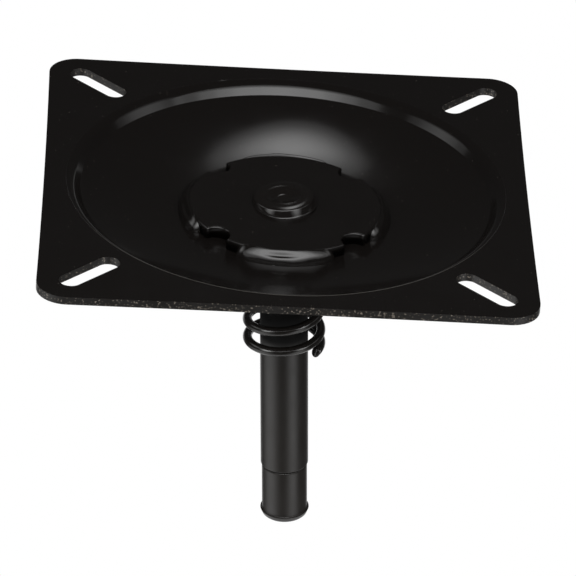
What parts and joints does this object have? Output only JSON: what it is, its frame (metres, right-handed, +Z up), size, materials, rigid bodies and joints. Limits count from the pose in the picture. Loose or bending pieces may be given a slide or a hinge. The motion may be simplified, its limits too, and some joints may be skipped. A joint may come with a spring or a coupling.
{
  "type": "seat mount",
  "caption": "Square dished plate with diagonal corner slots, welded to a hub and a sleeved pin with a coil spring, for plugging a seat into a pedestal post.",
  "frame": {"origin": "on the axis of the pin, at the lower end of the upper sleeve's bearing wall", "axes": "+Z up the pin towards the seat; +X towards the low side of the leaning plate; the front is -Y"},
  "size_m": [0.1776, 0.1778, 0.1483],
  "materials": {
    "black_coated_steel": "satin black dip coating",
    "black_coated_weld": "satin black dip coating over rippled weld",
    "sleeve_plastic": "matt moulded bearing plastic",
    "black_spring_wire": "gloss black drawn wire"
  },
  "bodies": {
    "mount": {"top_plate": "black_coated_steel", "hub": "black_coated_steel", "weld_beads": "black_coated_weld", "pin": "black_coated_steel", "upper_sleeve": "sleeve_plastic", "lower_sleeve": "sleeve_plastic"},
    "spring": {"spring": "black_spring_wire"}
  },
  "joints": [
    {"name": "spring_press", "type": "slide", "parent": "mount", "child": "spring", "axis": [0, 0, 1], "range_m": [0, 0.027], "stiffness_N_per_m": 17800, "deforming": ["spring"]}
  ]
}
